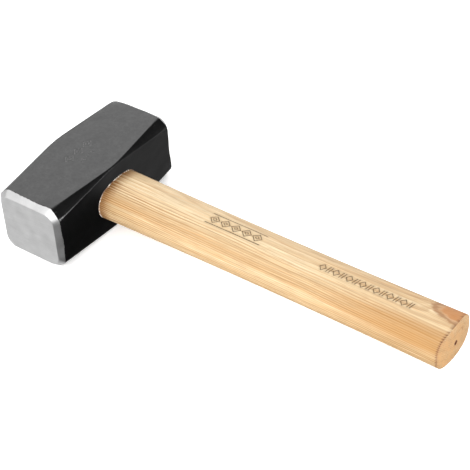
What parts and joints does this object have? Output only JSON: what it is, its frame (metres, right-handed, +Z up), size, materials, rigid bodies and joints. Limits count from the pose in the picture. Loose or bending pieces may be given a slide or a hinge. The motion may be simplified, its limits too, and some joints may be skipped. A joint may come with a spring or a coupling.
{
  "type": "lump hammer",
  "caption": "Short-handled lump hammer: a double-faced forged steel head with faceted corners on an oval wooden handle, wedged in the eye.",
  "frame": {"origin": "on the lower cheek of the head, straight under the middle of the eye, with the hammer lying on that cheek", "axes": "+X along the handle from the eye to the butt, +Y along the head from one striking face to the other, +Z up through the cheeks"},
  "size_m": [0.26, 0.1014, 0.041],
  "materials": {
    "head_steel": "black lacquered forging with bare ground striking faces",
    "handle_wood": "pale hickory under clear satin lacquer",
    "wedge_wood": "bare hardwood, sanded flush",
    "wedge_steel": "plain barbed steel, hammered flush"
  },
  "bodies": {
    "root": {"head": "head_steel", "handle": "handle_wood", "wooden_wedge": "wedge_wood", "steel_wedge_1": "wedge_steel", "steel_wedge_2": "wedge_steel"}
  },
  "joints": []
}
